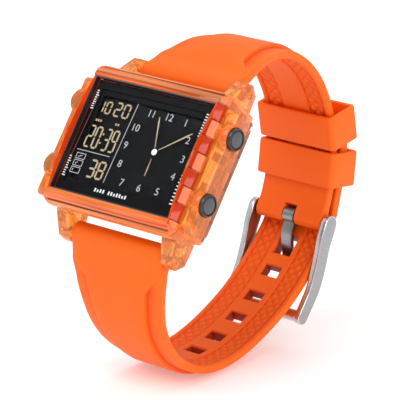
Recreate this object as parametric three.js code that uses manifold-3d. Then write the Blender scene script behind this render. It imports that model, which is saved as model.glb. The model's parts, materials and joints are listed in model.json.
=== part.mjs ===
// A rectangular digital wrist watch in a translucent case, fastened on its silicone strap.
// Watch frame, in millimetres: +x to 3 o'clock, +y to 12 o'clock, +z out of the crystal, and z = 0 at the
// corners of the crystal. The whole watch then leans back and stands on the lower bend of its strap.
import * as THREE from "three";
import { mergeVertices } from "three/addons/utils/BufferGeometryUtils.js";
import Module from "manifold-3d";

const wasm = await Module();
wasm.setup();

// ---- Driving dimensions ----
const leanBack = 35; // degrees between the dial and the vertical

const crystalWidth = 30.8;
const crystalHeight = 23.7;
const crystalRise = 1.1; // the middle stands above the ends
const crystalEdge = 1.3; // thickness at the ends
const gasketWall = 0.3;

const seatGap = 0.2; // between pieces stacked in the case
const sideGap = 0.1; // between pieces that fit inside each other
const strapGap = 0.3; // around the soft pieces

const bezelMargin = 1.5; // from the crystal's gasket to the bezel's flank
const bezelProud = 0.3; // the bezel's rim above the crystal
const bezelLip = 2.8; // from the crystal's gasket to the bezel's 12 and 6 o'clock ends
const bezelDepth = 1.9;
const cornerCut = 1.3;

const caseDepth = 8.0; // from the bezel down to the case back
const caseTaper = 1.5; // the 12 and 6 o'clock walls lean in by this much
const caseWall = 2.9;
const backThickness = 1.2;
const screwRadius = 0.8;
const screwHeadRadius = 1.4;
const screwHeadThickness = 0.6;
const screwLength = 4;

const lugGap = 24.4; // between the lugs' inner faces
const lugWidth = 3.7; // where a lug leaves the case
const lugTipWidth = 2.6;
const lugReach = 2.5; // from the case to the spring bar
const lugDrop = 6.7; // from the case's top to the spring bar
const lugRadius = 2.3;

const guardWidth = 1.9;
const guardHeight = 4.9;
const guardLength = 25.8;
const guardStand = 1.0; // between the case's flank and the guard
const guardBevel = 0.9;
const guardShift = -0.7; // the guard's middle, towards 6 o'clock
const ribCount = 4;

const pusherPitch = 14;
const pusherDrop = 1.7; // from the case's top to the pushers' axis
const pusherRadius = 2.3;
const pusherProud = 0.8;
const pusherTravel = 0.7;
const pusherHead = 1.6;
const stemRadius = 0.6;
const clipGroove = 0.15;
const springWire = 0.18;

const strapThickness = 2.6;
const strapWidth = 23.8; // just past the lugs
const strapEndWidth = 17.6; // at the buckle
const strapEyeRadius = 2.1; // round the spring bars at the lugs
const strapEndRadius = 1.6; // round the buckle's spring bar
const barRadius = 0.75;
const barTipRadius = 0.45;
const holeCount = 6;
const holePitch = 6.85;
const holeWidth = 4.2;
const holeLength = 2.9;
const tangHoleLength = 4.3; // the tang draws its hole open
const keeperLength = 7.4;
const keeperWall = 1;
const keeperBow = 0.5; // room for the strap's bend inside a keeper
const pinY = 7.4; // the buckle's spring bar, on the far side of the wrist
const pinZ = -56;
const buckleArmWidth = 1.4;
const buckleArmDepth = 3.9;
const buckleBarRadius = 1.25;
const tangThickness = 1.1;
const tangWidth = 2.7;

// ---- Sizes worked out from them ----
const halfX = crystalWidth / 2 + sideGap + gasketWall + sideGap; // the bezel's window
const halfY = crystalHeight / 2 + sideGap + gasketWall + sideGap;
const flankX = halfX + bezelMargin; // the case's and bezel's flank
const endY = halfY + bezelLip; // their 12 and 6 o'clock ends
const bezelFloor = -bezelDepth;
const caseTop = bezelFloor - seatGap;
const caseFloor = caseTop - caseDepth;
const cavityX = flankX - caseWall;
const cavityY = endY - caseTaper - caseWall;
const barY = endY + lugReach;
const barZ = caseTop - lugDrop;
const guardIn = flankX + guardStand;
const guardOut = guardIn + guardWidth;
const pusherZ = caseTop - pusherDrop;
const backX = flankX - 0.3; // the case back's half sizes
const backY = endY - caseTaper - 0.2;
const far = 40; // past every face of the case, for cuts that go right through

// ---- Shapes and solids ----

/** A geometry's closed solid, its shared corners merged. */
function solidOf(geometry) {
  const bare = geometry.clone();
  bare.deleteAttribute("normal");
  bare.deleteAttribute("uv");
  const merged = mergeVertices(bare, 1e-4);
  return new wasm.Manifold(
    new wasm.Mesh({
      numProp: 3,
      vertProperties: new Float32Array(merged.attributes.position.array),
      triVerts: new Uint32Array(merged.index.array),
    }),
  );
}

/** A solid's triangles as a geometry. */
function geometryOf(solid) {
  const mesh = solid.getMesh();
  const geometry = new THREE.BufferGeometry();
  geometry.setAttribute("position", new THREE.BufferAttribute(mesh.vertProperties, 3));
  geometry.setIndex(new THREE.BufferAttribute(mesh.triVerts, 1));
  const flat = geometry.toNonIndexed();
  flat.computeVertexNormals();
  return flat;
}

/** A box between two corners. */
function block(low, high) {
  const size = high.map((v, i) => v - low[i]);
  const geometry = new THREE.BoxGeometry(...size);
  return solidOf(geometry.translate(...low.map((v, i) => v + size[i] / 2)));
}

/** A round bar along x. */
function roundBar(radius, fromX, toX, y = 0, z = 0, segments = 20) {
  const geometry = new THREE.CylinderGeometry(radius, radius, toX - fromX, segments);
  geometry.rotateZ(-Math.PI / 2);
  return solidOf(geometry.translate((fromX + toX) / 2, y, z));
}

/** A round bar along z. */
function disc(radius, fromZ, toZ, x = 0, y = 0, segments = 28) {
  const geometry = new THREE.CylinderGeometry(radius, radius, toZ - fromZ, segments);
  geometry.rotateX(Math.PI / 2);
  return solidOf(geometry.translate(x, y, (fromZ + toZ) / 2));
}

/** An outline in y and z, swept along x. */
function sideSweep(shape, fromX, toX) {
  const options = { depth: toX - fromX, bevelEnabled: false, curveSegments: 14 };
  const geometry = new THREE.ExtrudeGeometry(shape, options);
  const turn = new THREE.Matrix4().makeBasis(
    new THREE.Vector3(0, 1, 0),
    new THREE.Vector3(0, 0, 1),
    new THREE.Vector3(1, 0, 0),
  );
  return solidOf(geometry.applyMatrix4(turn).translate(fromX, 0, 0));
}

/** An outline in x and y, swept along z. */
function faceSweep(shape, fromZ, toZ) {
  const geometry = new THREE.ExtrudeGeometry(shape, { depth: toZ - fromZ, bevelEnabled: false });
  return solidOf(geometry.translate(0, 0, fromZ));
}

/** An outline in x and z, swept along y. */
function endSweep(shape, fromY, toY) {
  const geometry = new THREE.ExtrudeGeometry(shape, { depth: toY - fromY, bevelEnabled: false });
  return solidOf(geometry.rotateX(Math.PI / 2).translate(0, toY, 0));
}

const polygon = (...points) => new THREE.Shape(points.map(([u, v]) => new THREE.Vector2(u, v)));

/** A rectangle about the origin with cut corners. */
function cutRectangle(halfU, halfV, cut) {
  return polygon(
    [halfU, -halfV + cut], [halfU, halfV - cut], [halfU - cut, halfV], [-halfU + cut, halfV],
    [-halfU, halfV - cut], [-halfU, -halfV + cut], [-halfU + cut, -halfV], [halfU - cut, -halfV],
  );
}

/** The four sign pairs of a rectangle's corners. */
const corners = [[1, 1], [-1, 1], [-1, -1], [1, -1]];

// ---- Materials ----
const finish = (color, roughness, metalness, extra = {}) =>
  new THREE.MeshStandardMaterial({ color, roughness, metalness, ...extra });
const clearOrange = finish(0xff6a1a, 0.15, 0, { transparent: true, opacity: 0.8 });
const silicone = finish(0xff6a1e, 0.6, 0);
const glass = finish(0x20242a, 0.05, 0, { transparent: true, opacity: 0.4 });
const blackPlastic = finish(0x0c0c0e, 0.4, 0);
const displayBlack = finish(0x141416, 0.25, 0);
const lightSheet = finish(0xd8dcd4, 0.5, 0);
const boardGreen = finish(0x1f5a34, 0.5, 0);
const rubberGrey = finish(0x4a565c, 0.7, 0);
const steel = finish(0xb8bbbf, 0.3, 1);
const gunMetal = finish(0x4a4c50, 0.35, 1);
const brass = finish(0xb89a50, 0.4, 1);

const watch = new THREE.Group();

/** Adds one named piece to a group. */
function addPiece(name, solid, material, group = watch) {
  const mesh = new THREE.Mesh(geometryOf(solid), material);
  mesh.name = name;
  group.add(mesh);
  return mesh;
}

// ---- Crystal: flat below, arched from 12 to 6 o'clock above ----
const archRadius = ((crystalHeight / 2) ** 2 + crystalRise ** 2) / (2 * crystalRise);
const archCentre = crystalRise - archRadius;

/** An outline in y and z: an arch of this radius over a flat floor. */
function archOutline(radius, reach, floor) {
  const shape = new THREE.Shape();
  const swing = Math.asin(reach / radius);
  shape.moveTo(-reach, floor);
  shape.lineTo(reach, floor);
  shape.absarc(0, archCentre, radius, Math.PI / 2 - swing, Math.PI / 2 + swing, false);
  return shape;
}

addPiece(
  "crystal",
  sideSweep(archOutline(archRadius, crystalHeight / 2, -crystalEdge), -crystalWidth / 2, crystalWidth / 2),
  glass,
);

const gasketOuter = [halfX - sideGap, halfY - sideGap];
const gasketInner = gasketOuter.map((v) => v - gasketWall);
const gasketBlock = block(
  [-gasketOuter[0], -gasketOuter[1], -crystalEdge],
  [gasketOuter[0], gasketOuter[1], -sideGap],
);
const gasketWindow = block([-gasketInner[0], -gasketInner[1], -far], [gasketInner[0], gasketInner[1], far]);
addPiece("crystal_gasket", gasketBlock.subtract(gasketWindow), rubberGrey);

// ---- Bezel: arched like the crystal, stepped at its ends, faceted along its flanks ----
const rimRadius = archRadius + bezelProud;
const rimReach = halfY + 0.9; // the rim's step down to the bezel's ends
const rimEdge = archCentre + Math.sqrt(rimRadius ** 2 - rimReach ** 2);
const rimAngle = Math.acos(rimReach / rimRadius);
const stepZ = bezelFloor + 0.7;
const bezelSide = new THREE.Shape();
bezelSide.moveTo(-endY, bezelFloor);
bezelSide.lineTo(endY, bezelFloor);
bezelSide.lineTo(endY - 0.5, stepZ);
bezelSide.lineTo(endY - 0.9, stepZ);
bezelSide.absarc(0, archCentre, rimRadius, rimAngle, Math.PI - rimAngle);
bezelSide.lineTo(-endY + 0.9, stepZ);
bezelSide.lineTo(-endY + 0.5, stepZ);

const flankSlope = 1.1; // the bezel's flank leans in by this much at its rim
const facetCount = 7;
const facetDepth = 0.35;

function bezel() {
  let solid = sideSweep(bezelSide, -flankX, flankX);
  solid = solid.intersect(faceSweep(cutRectangle(flankX, endY, cornerCut), -far, far));
  solid = solid.subtract(block([-halfX, -halfY, -far], [halfX, halfY, far]));
  const facetPitch = (2 * halfY) / facetCount;
  for (const side of [1, -1]) {
    const foot = side * flankX;
    const head = side * (flankX - flankSlope);
    const lean = polygon([foot, stepZ], [side * far, stepZ], [side * far, far], [head, far], [head, rimEdge]);
    solid = solid.subtract(endSweep(lean, -far, far));
    const deepFoot = foot - side * facetDepth;
    const deepHead = head - side * facetDepth;
    const notch = polygon([deepFoot, -far], [side * far, -far], [side * far, far],
      [deepHead, far], [deepHead, rimEdge - 0.2], [deepFoot, stepZ]);
    for (let i = 0; i < facetCount; i += 2) {
      const y = -halfY + i * facetPitch;
      solid = solid.subtract(endSweep(notch, y, y + facetPitch));
    }
  }
  return solid;
}
addPiece("bezel", bezel(), clearOrange);

// ---- Case body: tapered box with four lugs, two guards on ribs, and bores for pushers and screws ----
const screwX = cavityX + 1.25;
const screwY = cavityY + 1.25;
const tubeBore = 1.2;
const headBore = pusherRadius + 0.15;
const bossRadius = headBore + 0.35;
const boreFloor = guardOut + pusherProud - pusherHead - pusherTravel - 0.2;
const clipPocket = 1.6;
const clipRoom = 0.9;

/** A lug's outline in y and z, from inside the case's wall to round its spring bar. */
function lugOutline(end) {
  const shape = new THREE.Shape();
  shape.moveTo(end * (endY - 2.5), caseTop - 1.5);
  shape.lineTo(end * endY, caseTop - 2.6);
  shape.lineTo(end * (barY + 1.9), barZ + 1.4);
  shape.lineTo(end * (barY + lugRadius), barZ - 0.6);
  shape.lineTo(end * (barY + 0.6), barZ - lugRadius);
  shape.lineTo(end * (endY - 2.5), caseFloor);
  return shape;
}

/** The two ends of a stretch along x on one side of the case, the lower first. */
const onSide = (side, near, outer) => (side > 0 ? [near, outer] : [-outer, -near]);

/** One lug: its side outline, narrowed towards its tip. */
function lug(sx, sy) {
  const inner = lugGap / 2;
  const outer = inner + lugWidth;
  const tipY = sy * (barY + lugRadius);
  const plan = polygon([sx * inner, 0], [sx * outer, 0], [sx * outer, sy * (endY - 0.6)],
    [sx * (inner + lugTipWidth), tipY], [sx * inner, tipY]);
  const bar = sideSweep(lugOutline(sy), ...onSide(sx, inner, outer));
  return bar.intersect(faceSweep(plan, -far, far));
}

/** The guard's outline in y and z: a long bar with cut ends. */
function guardOutline() {
  const end = guardLength / 2;
  const shoulder = end - 1.3;
  const tip = 0.9;
  const top = guardHeight / 2;
  return polygon([-end, -tip], [-shoulder, -top], [shoulder, -top], [end, -tip],
    [end, tip], [shoulder, top], [-shoulder, top], [-end, tip]);
}

/** One guard about the origin: its outline, with the two outer edges bevelled. */
function guard(side) {
  const top = guardHeight / 2;
  const shoulder = side * (guardWidth - guardBevel);
  const face = side * guardWidth;
  const section = polygon([0, -top], [shoulder, -top], [face, -top + guardBevel], [face, top - guardBevel],
    [shoulder, top], [0, top]);
  const bar = sideSweep(guardOutline(), ...onSide(side, 0, guardWidth));
  return bar.intersect(endSweep(section, -guardLength, guardLength));
}

const ribHalf = 0.9;
const ribTop = 1.2; // above and below the pushers' axis
const ribFoot = 1.6;
const rooted = 1; // how far a rib or boss goes into the wall it grows from

function caseBody() {
  const shoulder = caseTop - 2;
  const wall = polygon([-endY, caseTop], [-endY, shoulder], [-endY + caseTaper, caseFloor],
    [endY - caseTaper, caseFloor], [endY, shoulder], [endY, caseTop]);
  let solid = sideSweep(wall, -flankX, flankX);
  solid = solid.intersect(faceSweep(cutRectangle(flankX, endY, cornerCut), -far, far));
  for (const [sx, sy] of corners) {
    solid = solid.add(lug(sx, sy));
  }
  for (const side of [1, -1]) {
    solid = solid.add(guard(side).translate(side * guardIn, guardShift, pusherZ));
    for (let i = 0; i < ribCount; i += 1) {
      const y = guardShift + guardLength * ((i + 0.5) / ribCount - 0.5);
      const [low, high] = onSide(side, flankX - rooted, guardIn + rooted);
      solid = solid.add(block([low, y - ribHalf, pusherZ - ribFoot], [high, y + ribHalf, pusherZ + ribTop]));
    }
    for (const end of [1, -1]) {
      const y = (end * pusherPitch) / 2;
      solid = solid.add(roundBar(bossRadius, ...onSide(side, flankX - rooted, guardOut), y, pusherZ, 24));
    }
  }
  solid = solid.subtract(block([-cavityX, -cavityY, -far], [cavityX, cavityY, far]));
  solid = solid.subtract(block([-flankX - seatGap, -endY, caseTop], [flankX + seatGap, endY, far]));
  const backRoom = [backX + seatGap, backY + seatGap];
  solid = solid.subtract(block([-backRoom[0], -backRoom[1], -far], [...backRoom, caseFloor]));
  for (const side of [1, -1]) {
    for (const end of [1, -1]) {
      const y = (end * pusherPitch) / 2;
      solid = solid.subtract(roundBar(headBore, ...onSide(side, boreFloor, far), y, pusherZ, 24));
      solid = solid.subtract(roundBar(tubeBore, ...onSide(side, cavityX - rooted, guardOut), y, pusherZ));
      const pocket = onSide(side, cavityX - rooted, cavityX + clipRoom);
      solid = solid.subtract(roundBar(clipPocket, ...pocket, y, pusherZ));
    }
  }
  const holeTop = caseFloor + screwLength;
  for (const [sx, sy] of corners) {
    solid = solid.subtract(disc(screwRadius + sideGap, -far, holeTop, sx * screwX, sy * screwY, 16));
  }
  for (const end of [1, -1]) {
    solid = solid.subtract(roundBar(barTipRadius + sideGap, -flankX, flankX, end * barY, barZ, 16));
  }
  return solid;
}
addPiece("case_body", caseBody(), clearOrange);

// ---- Display stack: mask, liquid crystal panel, light sheet and contact strips ----
const maskThickness = 0.4;
const maskTop = -crystalEdge - seatGap;
const panelX = cavityX - 1.3;
const panelY = cavityY - 1.3;
const panelThickness = 1.0;
const panelTop = maskTop - maskThickness - seatGap;
const sheetThickness = 0.3;
const sheetTop = panelTop - panelThickness - seatGap;
const shelfTop = sheetTop - sheetThickness - seatGap;
const shelfThickness = 1.2;
const boardTop = shelfTop - shelfThickness - seatGap;
const boardThickness = 0.8;
const boardFloor = boardTop - boardThickness;
const stripWidth = 1.1;
const stripY = panelY - 0.8;
const stripLength = 22;
const windowX = panelX - 0.4;
const windowY = panelY - 0.6;

const maskX = cavityX - seatGap;
const maskY = cavityY - seatGap;
const maskBlock = block([-maskX, -maskY, maskTop - maskThickness], [maskX, maskY, maskTop]);
addPiece(
  "dial_mask",
  maskBlock.subtract(block([-windowX, -windowY, -far], [windowX, windowY, far])),
  blackPlastic,
);
addPiece(
  "lcd_panel",
  block([-panelX, -panelY, panelTop - panelThickness], [panelX, panelY, panelTop]),
  displayBlack,
);
addPiece(
  "backlight_sheet",
  block([-panelX, -stripY + stripWidth, sheetTop - sheetThickness], [panelX, stripY - stripWidth, sheetTop]),
  lightSheet,
);
for (const [name, end] of [["contact_strip_12h", 1], ["contact_strip_6h", -1]]) {
  addPiece(
    name,
    block(
      [-stripLength / 2, end * stripY - stripWidth / 2, boardTop + sideGap],
      [stripLength / 2, end * stripY + stripWidth / 2, panelTop - panelThickness - sideGap],
    ),
    rubberGrey,
  );
}

// ---- Module: frame, board with its chip and crystal, battery, clip and buzzer ----
const frameX = cavityX - seatGap;
const frameY = cavityY - seatGap;
const frameFloor = caseFloor + 1.1;
const batteryRadius = 8;
const batteryThickness = 2;
const batteryTop = boardFloor - seatGap;
const batteryFloor = batteryTop - batteryThickness;
const batteryX = 3.6;
const clipThickness = 0.2;
const buzzerRadius = 6.5;
const buzzerThickness = 0.3;
const buzzerFloor = caseFloor - seatGap + sideGap;

function moduleFrame() {
  const roomX = panelX + 0.25;
  const roomY = panelY + 0.25;
  const tubeRoom = clipPocket + sideGap; // beside the pushers' ends
  let solid = block([-frameX, -frameY, frameFloor], [frameX, frameY, panelTop]);
  solid = solid.subtract(block([-roomX, -roomY, shelfTop], [roomX, roomY, far]));
  solid = solid.subtract(block([-roomX, -roomY, -far], [roomX, roomY, shelfTop - shelfThickness]));
  for (const end of [1, -1]) {
    const slotX = stripLength / 2 + sideGap;
    const slotY = stripWidth / 2 + sideGap;
    const slot = block([-slotX, -slotY, -far], [slotX, slotY, far]);
    solid = solid.subtract(slot.translate(0, end * stripY, 0));
    const y = (end * pusherPitch) / 2;
    solid = solid.subtract(block([-far, y - tubeRoom, pusherZ - tubeRoom], [far, y + tubeRoom, far]));
  }
  return solid;
}
addPiece("module_frame", moduleFrame(), blackPlastic);
addPiece("circuit_board", block([-panelX, -panelY, boardFloor], [panelX, panelY, boardTop]), boardGreen);

const chipRadius = 2.2;
const chipX = batteryX - batteryRadius - chipRadius - 2.6;
const chipThickness = 0.8;
const chipTop = boardFloor - sideGap;
addPiece("driver_chip", disc(chipRadius, chipTop - chipThickness, chipTop, chipX, -2.4, 20), blackPlastic);

const quartzRadius = 0.75;
const quartzLength = 5;
const quartzY = cavityY - 3.2;
const quartz = roundBar(quartzRadius, chipX - quartzLength / 2, chipX + quartzLength / 2);
addPiece("quartz_can", quartz.translate(0, quartzY, chipTop - quartzRadius - sideGap), steel);
addPiece("battery", disc(batteryRadius, batteryFloor, batteryTop, batteryX, 0, 36), steel);

/** A sprung strip under the battery, with a leg up to the board at each end. */
function batteryClip() {
  const half = 1.5;
  const leg = 0.3;
  const top = batteryFloor - sideGap;
  const floor = top - clipThickness;
  let solid = block([batteryX - half, -panelY, floor], [batteryX + half, panelY, top]);
  for (const [from, to] of [[-panelY, -panelY + leg], [panelY - leg, panelY]]) {
    solid = solid.add(block([batteryX - half, from, floor], [batteryX + half, to, boardFloor - sideGap]));
  }
  return solid;
}
addPiece("battery_clip", batteryClip(), steel);
addPiece("buzzer_disc", disc(buzzerRadius, buzzerFloor, buzzerFloor + buzzerThickness, 0, 0, 32), brass);

/** A closed coil of round wire about z. */
function coil(radius, wire, fromZ, toZ, turns) {
  class Helix extends THREE.Curve {
    getPoint(t) {
      const angle = 2 * Math.PI * turns * t;
      const z = fromZ + wire + (toZ - fromZ - 2 * wire) * t;
      return new THREE.Vector3(radius * Math.cos(angle), radius * Math.sin(angle), z);
    }
  }
  const section = new THREE.Shape();
  section.absarc(0, 0, wire, 0, 2 * Math.PI);
  const geometry = new THREE.ExtrudeGeometry(section, {
    steps: Math.round(turns * 14), extrudePath: new Helix(), curveSegments: 3, bevelEnabled: false,
  });
  return solidOf(geometry);
}
const contactSpring = coil(0.7, 0.16, buzzerFloor + buzzerThickness + sideGap, boardFloor - sideGap, 3.5);
addPiece("buzzer_spring", contactSpring.translate(-6, 0, 0), brass);

// ---- Case back: plate, gasket in its groove, four screws ----
const backTop = caseFloor - seatGap;
const backFloor = backTop - backThickness;
const grooveX = cavityX + 0.15;
const grooveY = cavityY + 0.15;
const grooveWidth = 0.3;
const grooveDepth = 0.35;

/** A rectangular ring between two depths. */
function ring(outerX, outerY, width, fromZ, toZ) {
  return block([-outerX, -outerY, fromZ], [outerX, outerY, toZ]).subtract(
    block([-outerX + width, -outerY + width, fromZ - 1], [outerX - width, outerY - width, toZ + 1]),
  );
}

function caseBack() {
  let solid = faceSweep(cutRectangle(backX, backY, cornerCut), backFloor, backTop);
  const width = grooveWidth + 2 * sideGap;
  const sinkTop = backFloor + screwHeadThickness + sideGap;
  solid = solid.subtract(disc(buzzerRadius + sideGap, buzzerFloor - sideGap, 0, 0, 0, 32));
  solid = solid.subtract(ring(grooveX + sideGap, grooveY + sideGap, width, backTop - grooveDepth, 0));
  for (const [sx, sy] of corners) {
    solid = solid.subtract(disc(screwRadius + sideGap, -far, 0, sx * screwX, sy * screwY, 16));
    solid = solid.subtract(disc(screwHeadRadius + sideGap, -far, sinkTop, sx * screwX, sy * screwY, 20));
  }
  return solid;
}
addPiece("case_back", caseBack(), steel);
addPiece(
  "case_back_gasket",
  ring(grooveX, grooveY, grooveWidth, backTop - grooveDepth + sideGap, caseFloor - sideGap),
  rubberGrey,
);

function caseScrew() {
  const headTop = backFloor + screwHeadThickness;
  const shank = disc(screwRadius, headTop - 0.3, caseFloor + screwLength - 0.5, 0, 0, 14);
  const head = disc(screwHeadRadius, backFloor, headTop, 0, 0, 18);
  const slot = block([-2, -0.2, -far], [2, 0.2, backFloor + 0.3]);
  return shank.add(head).subtract(slot);
}
corners.forEach(([sx, sy], i) => {
  addPiece("case_screw_" + (i + 1), caseScrew().translate(sx * screwX, sy * screwY, 0), steel);
});

// ---- Pushers: head and stem, guide tube, return spring, seal ring and clip ----
const headIn = guardOut + pusherProud - pusherHead;
const tubeOut = boreFloor + 0.1;
const tubeIn = cavityX + clipRoom;
const clipThick = 0.25;
const clipX = tubeIn - 0.1 - clipThick;
const stemTip = clipX - 0.35;

/** A turned piece about x, from its profile of x and radius. */
function turned(profile, segments = 24) {
  const geometry = new THREE.LatheGeometry(profile.map(([x, r]) => new THREE.Vector2(r, x)), segments);
  return solidOf(geometry.rotateZ(-Math.PI / 2));
}

function pusher() {
  return turned([
    [stemTip, 0], [stemTip, stemRadius], [clipX - 0.05, stemRadius], [clipX - 0.05, stemRadius - clipGroove],
    [clipX + clipThick + 0.05, stemRadius - clipGroove], [clipX + clipThick + 0.05, stemRadius],
    [headIn, stemRadius], [headIn, pusherRadius], [headIn + pusherHead - 0.35, pusherRadius],
    [headIn + pusherHead - 0.1, pusherRadius - 0.3], [headIn + pusherHead, 0],
  ]);
}

/** A plain washer about x. */
const washer = (inner, outer, from, to, segments = 20) =>
  turned([[from, inner], [from, outer], [to, outer], [to, inner], [from, inner]], segments);

function sealRing() {
  const section = 0.17;
  const profile = [];
  for (let i = 0; i <= 6; i += 1) {
    const angle = (2 * Math.PI * i) / 6;
    profile.push([
      (tubeIn + tubeOut) / 2 - section * Math.sin(angle),
      stemRadius + 0.02 + section - section * Math.cos(angle),
    ]);
  }
  return turned(profile, 14);
}

for (const [place, side, end] of [["2h", 1, 1], ["4h", 1, -1], ["8h", -1, 1], ["10h", -1, -1]]) {
  const group = new THREE.Group();
  group.position.set(0, (side * end * pusherPitch) / 2, pusherZ);
  group.rotation.z = side > 0 ? 0 : Math.PI;
  watch.add(group);
  addPiece("pusher_" + place, pusher(), gunMetal, group);
  addPiece("pusher_tube_" + place, washer(0.99, tubeBore - sideGap, tubeIn, tubeOut), steel, group);
  addPiece("pusher_seal_" + place, sealRing(), rubberGrey, group);
  const clipRing = washer(stemRadius - clipGroove + 0.03, 1.35, clipX, clipX + clipThick, 18);
  const clipMouth = block([-far, -far, -0.3], [far, 0, 0.3]);
  addPiece("pusher_clip_" + place, clipRing.subtract(clipMouth), steel, group);
  const spring = coil(1.5, springWire, tubeOut + sideGap, headIn - sideGap, 2.25);
  const mesh = addPiece("pusher_spring_" + place, spring, steel, group);
  mesh.rotation.y = Math.PI / 2;
}

// ---- Spring bars: a tube and two sprung tips ----
function springBar(name, halfLength, tipReach, y, z) {
  const bore = 1.6;
  const tube = roundBar(barRadius, -halfLength, halfLength, y, z, 18);
  addPiece(
    name + "_tube",
    tube
      .subtract(roundBar(barTipRadius + 0.06, halfLength - bore, halfLength + 1, y, z, 16))
      .subtract(roundBar(barTipRadius + 0.06, -halfLength - 1, -halfLength + bore, y, z, 16)),
    steel,
  );
  addPiece(name + "_tip_right", roundBar(barTipRadius, halfLength - bore / 2, tipReach, y, z, 16), steel);
  addPiece(name + "_tip_left", roundBar(barTipRadius, -tipReach, -halfLength + bore / 2, y, z, 16), steel);
}
springBar("spring_bar_12h", lugGap / 2 - 0.3, lugGap / 2 + lugTipWidth * 0.6, barY, barZ);
springBar("spring_bar_6h", lugGap / 2 - 0.3, lugGap / 2 + lugTipWidth * 0.6, -barY, barZ);

// ---- Strap: two halves that curve round the wrist and overlap behind the buckle ----

/** The strap's middle line, smooth through points of y and z. */
const middleLine = (points) =>
  new THREE.CatmullRomCurve3(points.map(([y, z]) => new THREE.Vector3(0, y, z)), false, "centripetal");

const shortLine = middleLine([
  [barY + 0.6, barZ - 0.2], [barY + 3.75, barZ - 1.9], [25.3, -13.3], [29.2, -17.2], [32.2, -23],
  [33.1, -28.8], [32.7, -33.2], [31.4, -37.8], [28.8, -42.8], [25.2, -47.2], [20.6, -50.9],
  [15.4, -53.7], [10.8, -55.3], [pinY, pinZ], [pinY - 2.2, pinZ - 0.3],
]);

/** A point on the tail's middle line, which lies on the short half at this share of its length. */
function overShort(share) {
  const p = shortLine.getPointAt(share);
  const t = shortLine.getTangentAt(share);
  const rise = strapThickness + strapGap;
  return [p.y - t.z * rise, p.z + t.y * rise];
}
const tailShares = [0.91, 0.86, 0.8, 0.74, 0.69, 0.665];
const longLine = middleLine([
  [-barY - 0.6, barZ - 0.2], [-barY - 4.35, barZ - 2.1], [-26.7, -14.5], [-31, -19.8],
  [-33.3, -25.4], [-33.9, -31.5], [-32.9, -37.2],
  [-30.5, -41.9], [-27.2, -45.9], [-23, -49.4], [-18.3, -52.4], [-12.9, -55.2], [-7.4, -57.2], [-2.5, -58.4],
  [2.4, -59.3], [6.8, pinZ - strapEndRadius - strapGap - strapThickness / 2 - 0.3],
  ...tailShares.map(overShort),
]);

/** The outline in y and z of a strip of even thickness along a line. */
function strip(line, thickness, steps) {
  const near = [];
  const far = [];
  for (let i = 0; i <= steps; i += 1) {
    const p = line.getPointAt(i / steps);
    const t = line.getTangentAt(i / steps);
    near.push([p.y - (t.z * thickness) / 2, p.z + (t.y * thickness) / 2]);
    far.unshift([p.y + (t.z * thickness) / 2, p.z - (t.y * thickness) / 2]);
  }
  return polygon(...near, ...far);
}

/** The strap's outline in x and z: it stays wide past the lugs, then narrows towards the buckle. */
function strapPlan() {
  const past = strapWidth / 2;
  const narrow = strapEndWidth / 2;
  const right = [
    [past, 0], [past, barZ - lugRadius], [past - (past - narrow) * 0.45, barZ - 9],
    [narrow + (past - narrow) * 0.15, barZ - 20], [narrow, barZ - 34], [narrow, -80],
  ];
  const left = right.map(([x, z]) => [-x, z]).reverse();
  return polygon(...left, ...right);
}

/** One strap half: a strip with an eye round its spring bar, cut to the strap's plan. */
function strapHalf(line, end, steps) {
  let solid = sideSweep(strip(line, strapThickness, steps), -15, 15);
  solid = solid.add(roundBar(strapEyeRadius, -15, 15, end * barY, barZ, 24));
  solid = solid.intersect(endSweep(strapPlan(), -60, 60));
  return solid.subtract(roundBar(barRadius + sideGap, -20, 20, end * barY, barZ, 20));
}

function strapShort() {
  let solid = strapHalf(shortLine, 1, 40);
  const half = strapEndWidth / 2;
  solid = solid.add(roundBar(strapEndRadius, -half, half, pinY, pinZ, 20));
  solid = solid.subtract(roundBar(barRadius + sideGap, -20, 20, pinY, pinZ, 20));
  const halfNotch = tangWidth / 2 + strapGap; // the end is notched for the tang's eye
  const notch = block([-halfNotch, pinY - 8, pinZ - 5], [halfNotch, pinY + 2, pinZ + 5]);
  return solid.subtract(notch);
}
addPiece("strap_short", strapShort(), silicone);

/** A box across the strap, centred on a line's point and turned to the line there. */
function acrossStrap(line, share, width, length, depth) {
  const p = line.getPointAt(share);
  const t = line.getTangentAt(share);
  const geometry = new THREE.BoxGeometry(width, length, depth);
  geometry.rotateX(Math.atan2(t.z, t.y));
  return solidOf(geometry.translate(0, p.y, p.z));
}

/** The share of a line at which it passes this y, going from its start. */
function shareAtY(line, y, from, to) {
  let low = from;
  let high = to;
  for (let i = 0; i < 40; i += 1) {
    const middle = (low + high) / 2;
    if (line.getPointAt(middle).y < y) low = middle;
    else high = middle;
  }
  return (low + high) / 2;
}

const tangShare = shareAtY(longLine, 1.3, 0.5, 1);
const longLength = longLine.getLength();

function strapLong() {
  let solid = strapHalf(longLine, -1, 56);
  for (let i = 0; i < holeCount; i += 1) {
    const share = tangShare - (i * holePitch) / longLength;
    const length = i === 0 ? tangHoleLength : holeLength;
    solid = solid.subtract(acrossStrap(longLine, share, holeWidth, length, 6));
  }
  return solid;
}
addPiece("strap_long", strapLong(), silicone);

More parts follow.
